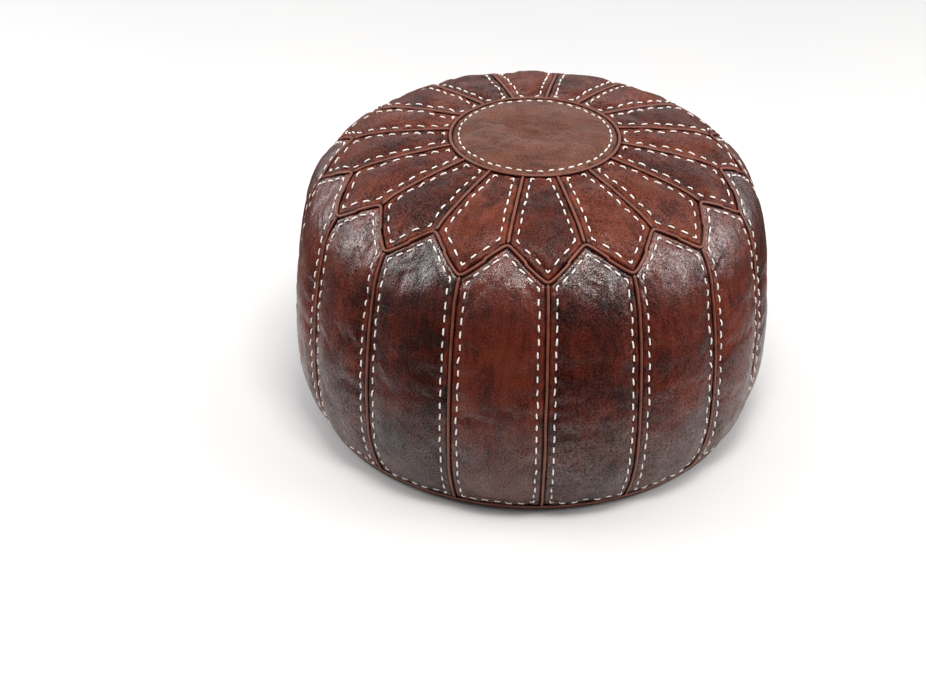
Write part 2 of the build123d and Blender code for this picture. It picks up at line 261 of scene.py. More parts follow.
def is_corner(kind, number, count):
    """Whether a row turns sharply at one of its corners."""
    if kind == "petal":
        return number in (0, 3, 4, 5, count - 1)
    return number in (0, 1, 9, 10, count - 1)


def dashes(kind):
    """The stitches of one panel, as lines of (way, side) points."""
    corners = row_corners(kind)
    points, marks = lined(corners)
    lengths = np.r_[0, np.cumsum(np.hypot(*np.diff(points, axis=0).T))]
    lengths *= marks[-1] / lengths[-1]
    stops = [marks[n] for n in range(len(corners)) if is_corner(kind, n, len(corners))] + [marks[-1]]
    middles = []
    for start, end in zip(stops, stops[1:]):
        count = max(1, round((end - start) / STITCH_PITCH))
        middles += [start + (end - start) * k / count for k in range(count)]
    found = []
    for middle in middles:
        spread = np.linspace(-0.5, 0.5, DASH_RINGS) * STITCH_LENGTH
        reach = (middle + spread) % marks[-1]
        found.append(np.column_stack([np.interp(reach, lengths, points[:, k]) for k in (0, 1)]))
    return np.array(found)


DASH_RINGS = 9
DASHES = {kind: dashes(kind) for kind in ("petal", "side")}


def pressed(kind, way, side):
    """How far the thread pulls the leather in, from 0 to 1."""
    if kind == "disc":
        return bell(way - (DISC_WAY - DISC_INSET), 2.4 * MM)
    flat_way, flat_side = way.ravel(), side.ravel()
    depth = np.zeros(flat_way.shape)
    for dash in DASHES[kind]:
        for ring in (1, DASH_RINGS // 2, DASH_RINGS - 2):
            off = (flat_way - dash[ring, 0]) ** 2 + (flat_side - dash[ring, 1]) ** 2
            depth = np.maximum(depth, np.exp(-off / (2.6 * MM) ** 2))
    return depth.reshape(way.shape)


# ------------------------ stuffing, by cloth simulation
SIM_ROWS, SIM_COLUMNS = 108, PANELS * 14
SIM_WAYS = np.linspace(14 * MM, BASE_WAY, SIM_ROWS)
SIM_ANGLES = FRONT + full_turn(SIM_COLUMNS)
SIM_FRAMES = 14
SIM_CAP = 7 * MM  # how far the simulation may move the cloth
SIM_PINNED = 3.4 * MM  # cloth this near a seam doesn't move
SIM_ROUGHNESS = 0.25 * MM  # unevenness that lets the cloth start to wrinkle
PUFF_SHARE = 0.68  # the leather gives less than the simulated cloth
SIM_CLOTH = {
    "quality": 6,
    "mass": 0.25,
    "tension_stiffness": 18,
    "compression_stiffness": 18,
    "shear_stiffness": 8,
    "bending_stiffness": 1.2,
    "air_damping": 4,
    "use_pressure": True,
    "uniform_pressure_force": 5,
    "shrink_min": -0.035,
    "vertex_group_mass": "seams",
    "pin_stiffness": 1,
}


def whole_seam_distance(way, angle):
    """Distance from any point of the cover to its nearest seam."""
    petal = np.mod(angle - FRONT, PITCH) - HALF
    side = np.mod(angle - FRONT + HALF, PITCH) - HALF
    on_disc, on_petal = way < DISC_WAY, way < point_way(petal)
    kinds = (("disc", petal), ("petal", petal), ("side", side))
    parts = {kind: nearest(seam_distances(kind, way, off)) for kind, off in kinds}
    return np.where(on_disc, parts["disc"], np.where(on_petal, parts["petal"], parts["side"]))


def grid_faces(rows, columns, wrap=False):
    """Quads over a grid of vertices, facing out of the cover."""
    row, column = np.meshgrid(np.arange(rows - 1), np.arange(columns - (0 if wrap else 1)), indexing="ij")
    here, right = row * columns + column, row * columns + (column + 1) % columns
    return np.stack([here, here + columns, right + columns, right], axis=-1).reshape(-1, 4)


def simulated_puff():
    """How the stuffed leather moves off the frame, as (lift, slip, swing) over a grid."""
    way, angle = np.meshgrid(SIM_WAYS, SIM_ANGLES, indexing="ij")
    start = lie(way, angle, lift=rng.normal(0, SIM_ROUGHNESS, way.shape))
    mesh = bpy.data.meshes.new("stuffing")
    mesh.from_pydata(start.reshape(-1, 3).tolist(), [], grid_faces(SIM_ROWS, SIM_COLUMNS, True).tolist())
    cover = bpy.data.objects.new("stuffing", mesh)
    bpy.context.collection.objects.link(cover)
    pins = cover.vertex_groups.new(name="seams")
    near = whole_seam_distance(way, angle).ravel() < SIM_PINNED
    near |= (way.ravel() < SIM_WAYS[1]) | (way.ravel() > SIM_WAYS[-2])
    pins.add([int(k) for k in np.nonzero(near)[0]], 1.0, "REPLACE")
    cloth = cover.modifiers.new("stuffing", "CLOTH")
    for setting, value in SIM_CLOTH.items():
        setattr(cloth.settings, setting, value)
    cloth.settings.effector_weights.gravity = 0
    cloth.collision_settings.use_collision = False
    scene = bpy.context.scene
    for number in range(1, SIM_FRAMES + 1):
        scene.frame_set(number)
    settled = cover.evaluated_get(bpy.context.evaluated_depsgraph_get()).data
    flat = np.empty(len(settled.vertices) * 3)
    settled.vertices.foreach_get("co", flat)
    scene.frame_set(1)
    bpy.data.objects.remove(cover)
    moved = flat.reshape(way.shape + (3,)) - lie(way, angle)
    out = lie(way, angle, lift=MM) - lie(way, angle)
    down = lie(way, angle, slip=MM) - lie(way, angle)
    round_way = np.stack([-np.sin(angle), np.cos(angle), np.zeros_like(angle)], axis=-1)
    parts = [(moved * out).sum(-1) / MM, (moved * down).sum(-1) / MM, (moved * round_way).sum(-1)]
    field = np.stack(parts, axis=-1)
    return SIM_CAP * np.tanh(field / SIM_CAP)


def sample_puff(field, way, angle):
    """The simulated movement at any points of the cover."""
    row = np.clip((way - SIM_WAYS[0]) / (SIM_WAYS[1] - SIM_WAYS[0]), 0, SIM_ROWS - 1.001)
    column = np.mod((angle - FRONT) / (2 * math.pi) * SIM_COLUMNS, SIM_COLUMNS)
    r, c = row.astype(int), column.astype(int) % SIM_COLUMNS
    u, v = (row - r)[..., None], (column - np.floor(column))[..., None]
    right = (c + 1) % SIM_COLUMNS
    upper = field[r, c] * (1 - v) + field[r, right] * v
    lower = field[r + 1, c] * (1 - v) + field[r + 1, right] * v
    return upper * (1 - u) + lower * u


PUFF = simulated_puff() * PUFF_SHARE


# ------------------------ the leather's relief
RELIEF = {"disc": 0.7 * MM, "petal": 1.3 * MM, "side": 1.8 * MM}  # crown of each kind of panel
FOLDS = {"disc": 0.1 * MM, "petal": 0.6 * MM, "side": 0.9 * MM}  # depth of its folds
GROOVE, GROOVE_WIDE = 3.4 * MM, 1.7 * MM  # the leather turns down beside a seam
LIP, LIP_AWAY, LIP_WIDE = 0.9 * MM, 5.2 * MM, 2.6 * MM  # and stands up a little further away
PRESS = 1.0 * MM  # how far a stitch pulls the leather in
SWELL, RIPPLE = 0.7 * MM, 0.14 * MM  # height of the broad and of the fine unevenness


def relief(kind, seed, way, angle):
    """How far one panel's leather stands off the frame, the panel centred on angle 0."""
    side = radius_at(way) * angle
    seam = nearest(seam_distances(kind, way, angle))
    lift = SINK - GROOVE * np.exp(-seam / GROOVE_WIDE)
    lift += RELIEF[kind] * (1 - bell(seam, 17 * MM))
    lift += LIP * bell(seam - LIP_AWAY, LIP_WIDE)
    lift -= PRESS * pressed(kind, way, side)
    inner = 1 - bell(seam, 9 * MM)
    lift += SWELL * inner * noise(way / 0.055, side / 0.045, seed)
    lift += RIPPLE * inner * noise(way / 0.021, side / 0.017, seed + 3)
    return lift - wrinkles(kind, seed, way, side, seam)


def wrinkles(kind, seed, way, side, seam):
    """Depth of the folds: short ones that leave the stitches, long shallow ones across a panel, and on
    a side panel broad ones that fan out of its gable."""
    short = creases(side, way, seed + 20, 9 * MM, 2.6, 0.16) * bell(seam - 11 * MM, 9 * MM)
    turned_way, turned_side = way * 0.8 + side * 0.6, side * 0.8 - way * 0.6
    long = creases(turned_way, turned_side, seed + 30, 34 * MM, 2.2, 0.09)
    patch = np.clip(noise(way / 0.06, side / 0.05, seed + 40) * 1.6 + 0.2, 0, 1)
    if kind == "side":
        under_gable = bell(way - VALLEY_WAY - 4 * MM, 34 * MM)
        short = short + 2.0 * creases(way, side, seed + 50, 19 * MM, 3.2, 0.26) * under_gable
    return FOLDS[kind] * (0.3 * short + 0.75 * long * patch)


def leather_points(kind, seed, centre, way, angle):
    """The leather's surface on one panel; angle is measured from the panel's centre line."""
    puff = sample_puff(PUFF, way, angle + centre)
    lift = relief(kind, seed, way, angle) + puff[..., 0]
    return lie(way, angle + centre, lift, puff[..., 1], puff[..., 2])


# ------------------------ meshes
def make_object(name, points, faces, material, smooth=True):
    mesh = bpy.data.meshes.new(name)
    mesh.from_pydata(np.asarray(points).reshape(-1, 3).tolist(), [], [list(map(int, f)) for f in faces])
    mesh.polygons.foreach_set("use_smooth", [smooth] * len(mesh.polygons))
    mesh.materials.append(material)
    mesh.update()
    thing = bpy.data.objects.new(name, mesh)
    bpy.context.collection.objects.link(thing)
    return thing


def add_float(mesh, name, values):
    layer = mesh.attributes.new(name, "FLOAT", "POINT")
    layer.data.foreach_set("value", np.ascontiguousarray(values, dtype=np.float32).ravel())


def add_vector(mesh, name, values):
    layer = mesh.attributes.new(name, "FLOAT_VECTOR", "POINT")
    layer.data.foreach_set("vector", np.ascontiguousarray(values, dtype=np.float32).ravel())


GRIDS = {"disc": (54, 192), "petal": (84, 45), "side": (156, 57)}  # rows and columns of each panel's mesh
CROWDING = math.pi / 2 * 0.72  # draws a panel's columns towards its side seams


def panel_grid(kind):
    """Ways and angles over one panel, centred on angle 0, that follow its seams."""
    rows, columns = GRIDS[kind]
    if kind == "disc":
        ways = np.linspace(0.5 * MM, DISC_WAY - TUCK, rows)
        return np.meshgrid(ways, full_turn(columns), indexing="ij")
    across = np.sin(np.linspace(-1, 1, columns) * CROWDING) / math.sin(CROWDING)
    along = np.linspace(0, 1, rows)[:, None]
    reach = HALF - TUCK / radius_at(PEAK_WAY if kind == "petal" else VALLEY_WAY)
    rough = across[None, :] * reach
    if kind == "petal":
        top, bottom = DISC_WAY + TUCK, point_way(rough) - TUCK / GABLE_COS
    else:
        top, bottom = gable_way(rough) + TUCK / GABLE_COS, BASE_WAY - TUCK
    eased = along - 0.035 * np.sin(2 * math.pi * along)
    way = top + (bottom - top) * eased
    angle = across[None, :] * (HALF - TUCK / radius_at(way))
    if kind == "side":
        inside = np.sign(angle) * np.minimum(np.abs(angle), np.abs(rough))
        angle = np.where(way < VALLEY_WAY, inside, angle)
    return way, angle


def panel_seed(kind, number):
    return 1000 + 37 * number + {"disc": 0, "petal": 5000, "side": 9000}[kind]


def make_panel(name, kind, number, centre, tone, material):
    """One leather panel: a thick sheet, puffed, creased and tucked under at its seams."""
    seed = panel_seed(kind, number)
    way, angle = panel_grid(kind)
    points = leather_points(kind, seed, centre, way, angle)
    rows, columns = way.shape
    panel = make_object(name, points, grid_faces(rows, columns, kind == "disc"), material)
    if kind == "disc":
        fill_crown(panel.data, columns)
    seam = nearest(seam_distances(kind, way, angle))
    side = radius_at(way) * angle
    if kind == "disc":
        spread = np.stack([points[..., 0], points[..., 1], np.full(way.shape, 3.1)], -1)
    else:  # each panel is cut from its own place in the hide
        spread = np.stack([way + 0.37 * number, side + 0.71 * number, np.full(way.shape, 0.13 * number)], -1)
    add_float(panel.data, "seam", seam / MM)
    add_float(panel.data, "press", pressed(kind, way, side))
    add_float(panel.data, "tone", np.full(way.shape, tone))
    add_float(panel.data, "down", way / BASE_WAY)
    add_vector(panel.data, "hide", spread)
    thicken(panel)
    return panel


def fill_crown(mesh, columns):
    """Close the small hole at the middle of the disc."""
    work = bmesh.new()
    work.from_mesh(mesh)
    work.verts.ensure_lookup_table()
    work.faces.new([work.verts[k] for k in range(columns)]).smooth = True
    work.to_mesh(mesh)
    work.free()


def thicken(thing):
    """Give a sheet the leather's thickness, inwards."""
    solid = thing.modifiers.new("thickness", "SOLIDIFY")
    solid.thickness = SKIN
    solid.offset = -1
    bpy.context.view_layer.objects.active = thing
    with bpy.context.temp_override(object=thing, active_object=thing, selected_objects=[thing]):
        bpy.ops.object.modifier_apply(modifier=solid.name)


def tube_faces(rings, sides, closed):
    """Quads round a tube, and a cap at each end unless it is closed into a ring."""
    quads = grid_faces(rings + closed, sides, True)[:, ::-1] % (rings * sides)
    faces = np.roll(quads, 1, axis=1).tolist()
    if not closed:
        last = (rings - 1) * sides
        faces += [list(range(sides))[::-1], list(range(last, last + sides))]
    return faces


def make_tube(line, out, sides, radii, closed):
    """Points and faces of a tube along a line; out points away from the leather at each point."""
    along = np.roll(line, -1, 0) - np.roll(line, 1, 0) if closed else np.gradient(line, axis=0)
    along /= np.linalg.norm(along, axis=1)[:, None]
    across = np.cross(along, out)
    across /= np.linalg.norm(across, axis=1)[:, None]
    up = np.cross(across, along)
    turn = full_turn(sides)
    points = line[:, None] + radii[..., None] * (
        np.cos(turn)[None, :, None] * across[:, None] + np.sin(turn)[None, :, None] * up[:, None]
    )
    return points.reshape(-1, 3), tube_faces(len(line), sides, closed)


CORD_SIDES = 14
CORD_STEP = 1.6 * MM  # between the rings of a cord's mesh


def cord_radii(count, seed, closed):
    """The wrapped cord's radius: a little uneven, with fine creases across it."""
    place = np.arange(count)[:, None] * CORD_STEP / MM
    turn = full_turn(CORD_SIDES)[None, :]
    uneven = 0.05 * noise(place / 9, np.cos(turn) * 1.5, seed)
    creased = 0.07 * creases(place, turn * 3, seed + 5, 4.2, 1.0, 0.22)
    radii = CORD * (1 + uneven - creased) * (1 + 0.1 * np.sin(turn))
    if not closed:
        ends = np.minimum(np.arange(count), np.arange(count)[::-1])[:, None]
        radii = radii * np.clip(0.55 + 0.25 * ends, 0, 1)
    return radii


def cord_line(way, angle, seed):
    """A welt's centre line over its seam, with the seam's slight wander."""
    run = np.r_[0, np.cumsum(np.linalg.norm(np.diff(lie(way, angle), axis=0), axis=1))]
    wander = 0.3 * MM * noise(run / 0.04, run * 0, seed)
    lift = SINK + 0.55 * MM + 0.15 * MM * noise(run / 0.022, run * 0 + 5, seed)
    puff = sample_puff(PUFF, way, angle) * 0.25
    out = lie(way, angle, lift + MM) - lie(way, angle, lift)
    return lie(way, angle, lift + puff[..., 0], swing=wander), out


def join_welts(name, runs, material):
    """One object of several cords, each given as (ways, angles, closed)."""
    points, faces, painted_light_rises, spreads, total = [], [], [], [], 0
    for number, (way, angle, closed) in enumerate(runs):
        line, out = cord_line(way, angle, 300 + number)
        radii = cord_radii(len(line), 60 + number, closed)
        ring_points, ring_faces = make_tube(line, out, CORD_SIDES, radii, closed)
        points.append(ring_points)
        faces += [[k + total for k in face] for face in ring_faces]
        total += len(ring_points)
        turn = np.tile(np.arange(CORD_SIDES), len(line))
        # How far up round the cord each point lies, which the piping's colour uses for its painted highlight
        # on top and painted shade below.
        painted_light_rises.append(np.sin(turn * 2 * math.pi / CORD_SIDES))
        run = np.repeat(np.arange(len(line)) * CORD_STEP, CORD_SIDES) + number * 0.7
        spreads.append(np.column_stack([run, 0.005 * np.sin(turn * 0.9), 0.005 * np.cos(turn * 0.9)]))
    welt = make_object(name, np.vstack(points), faces, material)
    add_float(welt.data, "rise", np.concatenate(painted_light_rises))
    add_vector(welt.data, "hide", np.vstack(spreads))
    return welt


def ring_run(way):
    """A welt that runs level right round the cover."""
    count = round(2 * math.pi * radius_at(way) / CORD_STEP)
    return np.full(count, way), full_turn(count), True


CORNER_EASE = 0.018  # how far the zigzag welt rounds its corners, in radians round the cover


def zigzag_run():
    """The welt round all the petals' points, with its corners eased."""
    count = PANELS * 76
    angle = FRONT + full_turn(count)
    from_tip = np.abs(np.mod(angle - FRONT - HALF + HALF, PITCH) - HALF)
    from_peak = HALF - from_tip
    at_tip, at_peak = (np.sqrt(off**2 + CORNER_EASE**2) - CORNER_EASE * 0.35 for off in (from_tip, from_peak))
    eased = np.where(from_tip < HALF / 2, at_tip, HALF - at_peak)
    return VALLEY_WAY - GABLE * eased, angle, True


def down_runs(start, end, first_angle):
    """Welts that run straight down the cover, one at each seam."""
    way = np.linspace(start, end, max(4, round(abs(end - start) / CORD_STEP)))
    return [(way, np.full(len(way), first_angle + number * PITCH), False) for number in range(PANELS)]


# ------------------------ thread
THREAD_SIDES = 8
THREAD_WIDE, THREAD_TALL = 0.95 * MM, 0.8 * MM  # half width and half height of a stitch


def thread_points(rest, out):
    """Rings of points round every stitch: rest is (stitches, rings, 3) on the leather, and out points
    away from it."""
    along = np.gradient(rest, axis=1)
    along /= np.linalg.norm(along, axis=2)[..., None]
    across = np.cross(along, out)
    across /= np.linalg.norm(across, axis=2)[..., None]
    share = np.linspace(-1, 1, DASH_RINGS)
    rise = (0.9 - 1.9 * np.abs(share) ** 8) * MM
    swell = np.sqrt(np.clip(1.06 - np.abs(share) ** 3.2, 0.05, 1))
    middle = rest + out * rise[None, :, None]
    turn = full_turn(THREAD_SIDES)
    phase = rng.uniform(0, 6, (len(rest), 1, 1))
    twist = 1 + 0.1 * np.cos(2 * turn[None, None, :] - share[None, :, None] * 9 + phase)
    size = swell[None, :, None] * twist * rng.uniform(0.9, 1.1, (len(rest), 1, 1))
    return middle[:, :, None] + size[..., None] * (
        THREAD_WIDE * np.cos(turn)[None, None, :, None] * across[:, :, None]
        + THREAD_TALL * np.sin(turn)[None, None, :, None] * out[:, :, None]
    )


def thread_faces(count):
    """The faces of that many stitches."""
    size = DASH_RINGS * THREAD_SIDES
    stitch = tube_faces(DASH_RINGS, THREAD_SIDES, False)
    return [[first + k for k in face] for first in range(0, count * size, size) for face in stitch]


def jittered(lines):
    """Stitches as a hand leaves them: a little long or short, and not quite in line."""
    middle = lines.mean(axis=1, keepdims=True)
    size = rng.uniform(0.85, 1.1, (len(lines), 1, 1))
    shift = rng.normal(0, 0.35 * MM, (len(lines), 1, 2))
    tilt = rng.normal(0, 0.06, (len(lines), 1))
    off = (lines - middle) * size
    turned = np.stack([off[..., 0] - tilt * off[..., 1], off[..., 1] + tilt * off[..., 0]], axis=-1)
    return middle + turned + shift


def make_thread(name, kind, centres, material):
    """All the stitches on one kind of panel."""
    rings = []
    for number, centre in enumerate(centres):
        lines = jittered(DASHES[kind]) if kind != "disc" else disc_dashes()
        way, side = lines[..., 0], lines[..., 1]
        angle = side / radius_at(way)
        rest = leather_points(kind, panel_seed(kind, number), centre, way, angle)
        out = lie(way, angle + centre, MM) - lie(way, angle + centre)
        rings.append(thread_points(rest, out / MM))
    thread_object(name, np.vstack(rings), material)


def thread_object(name, points, material):
    """One piece of many stitches, with what its material needs."""
    thread = make_object(name, points, thread_faces(len(points)), material)
    share = np.broadcast_to(np.linspace(-1, 1, DASH_RINGS)[None, :, None], points.shape[:3])
    stain = np.broadcast_to(rng.uniform(0, 1, (len(points), 1, 1)), points.shape[:3])
    add_float(thread.data, "end", np.abs(share))
    add_float(thread.data, "stain", stain)
    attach(thread, "cover")


def disc_dashes():
    """The ring of stitches on the disc, as (way, side)."""
    way = DISC_WAY - DISC_INSET
    radius = radius_at(way)
    middles = full_turn(DISC_STITCHES)
    middles = middles + rng.normal(0, 0.004, DISC_STITCHES)
    spread = np.linspace(-0.5, 0.5, DASH_RINGS) * DISC_STITCH_LENGTH / radius
    angles = middles[:, None] + spread[None, :] * rng.uniform(0.85, 1.12, (DISC_STITCHES, 1))
    ways = way + rng.normal(0, 0.3 * MM, (DISC_STITCHES, 1)) + 0 * angles
    return np.stack([ways, angles * radius_at(ways)], axis=-1)


# ------------------------ materials
class Nodes:
    """A short way to write the nodes of a material, or of the world."""

    def __init__(self, name, world=None):
        self.owner = world or bpy.data.materials.new(name)
        self.owner.use_nodes = True
        self.tree = self.owner.node_tree
        self.shader = self.tree.nodes["Background" if world else "Principled BSDF"]

    def put(self, kind, inputs=None, **settings):
        node = self.tree.nodes.new(kind)
        for key, value in settings.items():
            setattr(node, key, value)
        for key, value in (inputs or {}).items():
            self.feed(node.inputs[key], value)
        return node

    def feed(self, socket, value):
        if isinstance(value, bpy.types.NodeSocket):
            self.tree.links.new(value, socket)
        else:
            socket.default_value = value

    def set(self, name, value):
        """Give one of the shader's inputs a value."""
        self.feed(self.shader.inputs[name], value)

    def place(self, space="Object"):
        return self.put("ShaderNodeTexCoord").outputs[space]

    def attribute(self, name, output="Fac"):
        return self.put("ShaderNodeAttribute", attribute_name=name).outputs[output]

    def noise(self, vector, scale, detail=2.0, rough=0.5, distortion=0.0):
        inputs = {"Vector": vector, "Scale": scale, "Detail": detail, "Roughness": rough}
        inputs["Distortion"] = distortion
        return self.put("ShaderNodeTexNoise", inputs).outputs["Fac"]

    def cells(self, vector, scale, feature="F1"):
        inputs = {"Vector": vector, "Scale": scale}
        return self.put("ShaderNodeTexVoronoi", inputs, feature=feature).outputs["Distance"]

    def grey(self, value):
        return self.put("ShaderNodeCombineColor", {0: value, 1: value, 2: value}).outputs[0]

    def stretch(self, vector, scale, turn=0.0):
        inputs = {"Vector": vector, "Scale": scale, "Rotation": (0, 0, turn)}
        return self.put("ShaderNodeMapping", inputs).outputs["Vector"]

    def math(self, operation, first, second, clamp=False):
        inputs = {0: first, 1: second}
        return self.put("ShaderNodeMath", inputs, operation=operation, use_clamp=clamp).outputs[0]

    def add(self, first, second, clamp=False):
        return self.math("ADD", first, second, clamp)

    def times(self, first, second):
        return self.math("MULTIPLY", first, second)

    def centred(self, value):
        return self.math("SUBTRACT", value, 0.5)

    def weighted(self, *terms):
        """The sum of values, each times its weight."""
        total = self.times(*terms[0])
        for value, weight in terms[1:]:
            total = self.add(total, self.times(value, weight))
        return total

    def remap(self, value, low, high, new_low, new_high, **settings):
        inputs = {0: value, 1: low, 2: high, 3: new_low, 4: new_high}
        return self.put("ShaderNodeMapRange", inputs, **settings).outputs[0]

    def ramp(self, value, stops):
        node = self.put("ShaderNodeValToRGB", {"Fac": value})
        while len(node.color_ramp.elements) < len(stops):
            node.color_ramp.elements.new(0.5)
        for element, (place, colour) in zip(node.color_ramp.elements, stops):
            element.position = place
            element.color = (*colour, 1)
        return node.outputs["Color"]

    def mix(self, share, first, second, blend="MIX"):
        inputs = {0: share, 6: first, 7: second}
        return self.put("ShaderNodeMix", inputs, data_type="RGBA", blend_type=blend).outputs[2]

    def bump(self, height, strength, distance, normal=None):
        inputs = {"Height": height, "Strength": strength, "Distance": distance}
        if normal is not None:
            inputs["Normal"] = normal
        return self.put("ShaderNodeBump", inputs).outputs["Normal"]


def waxed_leather(name, shades, rough, coat, gloss, grain, painted_floor_reflection=0.0):
    """Hand-dyed goat leather: mottled, pebbled and waxed, with painted shade towards the seams and a painted
    highlight on the lip beside them. Its shades run from dark to light. With its last argument it is rubbed
    bright under the gables, and painted grey near the floor as a painted reflection of the pale floor."""
    n = Nodes(name)
    dark, mid, light = shades
    hide = n.attribute("hide", "Vector")
    blotch = n.noise(hide, 16, 4, 0.62, 0.7)
    cloud = n.noise(hide, 48, 5, 0.65, 0.4)
    streak = n.noise(n.stretch(hide, (24, 170, 40), 0.2), 1, 5, 0.72, 0.3)
    speck = n.noise(hide, 520, 3, 0.65)
    value = n.weighted((blotch, 0.42), (cloud, 0.34), (streak, 0.36), (n.centred(speck), 0.42))
    value = n.add(value, n.attribute("tone"))
    colour = n.ramp(value, [(0.42, dark), (0.55, mid), (0.7, light)])
    seam = n.attribute("seam")
    uneven = n.add(seam, n.times(n.centred(cloud), 9))
    # Painted shade: the colour is darkened towards each seam, with an uneven edge.
    painted_seam_shade = n.remap(uneven, 0.6, 6.5, 0.3, 1.0)
    colour = n.mix(1.0, colour, n.grey(painted_seam_shade), "MULTIPLY")
    # Painted highlight: the lip that stands up beside each seam is lightened, in patches.
    painted_lip_highlight = n.times(n.remap(seam, 2.2, 4.2, 0, 1), n.remap(seam, 5.6, 8.5, 1, 0))
    painted_lip_highlight = n.times(painted_lip_highlight, n.remap(cloud, 0.42, 0.62, 0.0, 0.5))
    colour = n.mix(painted_lip_highlight, colour, (*[min(1, c * 1.6) for c in light], 1))
    # Painted reflection of the pale floor: towards the bottom the colour is mixed towards grey-brown.
    if painted_floor_reflection:
        lower = n.remap(n.attribute("down"), 0.72, 0.92, 0.0, painted_floor_reflection)
        colour = n.mix(lower, colour, (0.055, 0.036, 0.03, 1))
    smear = n.remap(n.noise(n.stretch(hide, (20, 62, 30), 0.4), 1, 3, 0.55, 0.6), 0.6, 0.72, 0.0, 0.6)
    colour = n.mix(smear, colour, (*[c * 0.5 for c in dark], 1))
    n.set("Base Color", colour)

    pebble = n.cells(hide, 520, "SMOOTH_F1")
    fine = n.noise(hide, 1500, 2, 0.6)
    crackle = n.cells(n.stretch(hide, (1, 1.5, 1), 0.6), 150, "DISTANCE_TO_EDGE")
    crackle = n.remap(crackle, 0.0, 0.09, 0.0, 1.0)
    patch = n.remap(n.noise(hide, 30, 2), 0.42, 0.62, 0.0, 1.0)
    lines = n.noise(n.stretch(hide, (60, 420, 60), 0.7), 1, 5, 0.65, 1.2)
    normal = n.bump(lines, 0.4 * grain, 0.0012)
    normal = n.bump(n.mix(patch, (1, 1, 1, 1), crackle), 0.16 * grain, 0.0008, normal)
    normal = n.bump(cloud, 0.3, 0.0012, normal)
    waxed = n.bump(pebble, 0.55 * grain, 0.0007, normal)
    waxed = n.bump(fine, 0.3 * grain, 0.0004, waxed)
    n.set("Normal", waxed)
    n.set("Coat Normal", n.bump(pebble, 0.2 * grain, 0.0006, normal))
    worn = n.noise(hide, 34, 4, 0.6, 0.5)
    n.set("Roughness", n.remap(worn, 0.3, 0.7, rough - 0.09, rough + 0.13))
    n.set("Coat Weight", n.remap(worn, 0.35, 0.7, coat, coat * 0.45))
    n.set("Coat Roughness", 0.24)
    shine = n.times(n.remap(worn, 0.32, 0.68, 1.35, 0.6), n.remap(speck, 0.36, 0.64, 0.1, 2.0))
    down = n.attribute("down")
    rubbed = 1.0
    if painted_floor_reflection:
        rubbed = n.add(n.remap(down, 0.48, 0.57, 4.2, 0.0), n.remap(down, 0.68, 0.84, 1.0, 2.4))
    shine = n.times(n.times(shine, rubbed), gloss)
    n.set("Specular IOR Level", shine)
    n.set("Sheen Weight", 0.01)
    n.set("Sheen Roughness", 0.6)
    n.set("Sheen Tint", (0.8, 0.74, 0.7, 1))
    return n.owner


def piping_leather():
    """Rust-brown leather wrapped over cord, mottled with wear: painted highlight on top and painted shade
    below.
    """
    n = Nodes("piping_leather")
    hide = n.attribute("hide", "Vector")
    worn = n.noise(hide, 55, 4, 0.65)
    fine = n.noise(hide, 700, 3, 0.6)
    # rise, how far up round the cord a point lies, paints the top lighter and the underside darker: painted
    # highlight and painted shade.
    value = n.weighted((n.attribute("rise"), 0.3), (worn, 0.75), (n.centred(fine), 0.2))
    shades = [(0.18, (0.006, 0.002, 0.0015)), (0.44, (0.085, 0.017, 0.008)), (0.84, (0.26, 0.066, 0.03))]
    colour = n.ramp(value, shades)
    n.set("Base Color", colour)
    ribs = n.noise(n.stretch(hide, (900, 60, 60)), 1, 3, 0.6)
    n.set("Normal", n.bump(fine, 0.3, 0.0003, n.bump(ribs, 0.3, 0.0005)))
    n.set("Roughness", n.remap(worn, 0.3, 0.7, 0.34, 0.56))
    n.set("Coat Weight", 0.15)
    n.set("Coat Roughness", 0.35)
    return n.owner


def waxed_thread(name, clean, stained):
    """Two-ply waxed thread, stained by the dye where it enters the leather."""
    n = Nodes(name)
    place = n.place()
    fibre = n.noise(place, 2200, 3, 0.6)
    reach = n.math("POWER", n.attribute("end"), 7.0)
    share = n.weighted((reach, 0.75), (n.attribute("stain"), 0.12))
    share = n.add(share, n.times(n.centred(fibre), 0.3), clamp=True)
    n.set("Base Color", n.mix(share, (*clean, 1), (*stained, 1)))
    n.set("Normal", n.bump(fibre, 0.35, 0.0003))
    n.set("Roughness", 0.5)
    n.set("Sheen Weight", 0.2)
    return n.owner


def woven(name, colour, scale):
    """Plain-woven cloth, with a little slub and shade."""
    n = Nodes(name)
    place = n.place()
    inputs = {"Vector": place, "Scale": scale, "Distortion": 0.4}
    warp, weft = (n.put("ShaderNodeTexWave", inputs, bands_direction=way).outputs["Fac"] for way in "XY")
    weave = n.times(warp, weft)
    shade = n.noise(place, 40, 4, 0.6)
    value = n.weighted((weave, 0.5), (shade, 0.6))
    dark = tuple(c * 0.55 for c in colour)
    n.set("Base Color", n.ramp(value, [(0.15, dark), (0.75, colour)]))
    n.set("Normal", n.bump(weave, 0.5, 0.0004))
    n.set("Roughness", 0.85)
    n.set("Sheen Weight", 0.3)
    return n.owner


def plain_leather(name, dark, light):
    """The base's unwaxed leather, scuffed where it stands on the floor."""
    n = Nodes(name)
    place = n.place()
    blotch = n.noise(place, 14, 5, 0.65, 0.5)
    scuff = n.noise(n.stretch(place, (40, 260, 40), 0.4), 1, 4, 0.7, 0.6)
    pebble = n.cells(place, 520, "SMOOTH_F1")
    value = n.weighted((blotch, 0.7), (scuff, 0.35))
    n.set("Base Color", n.ramp(value, [(0.35, dark), (0.75, light)]))
    n.set("Normal", n.bump(pebble, 0.35, 0.0006, n.bump(blotch, 0.3, 0.002)))
    n.set("Roughness", n.remap(scuff, 0.3, 0.7, 0.48, 0.72))
    return n.owner


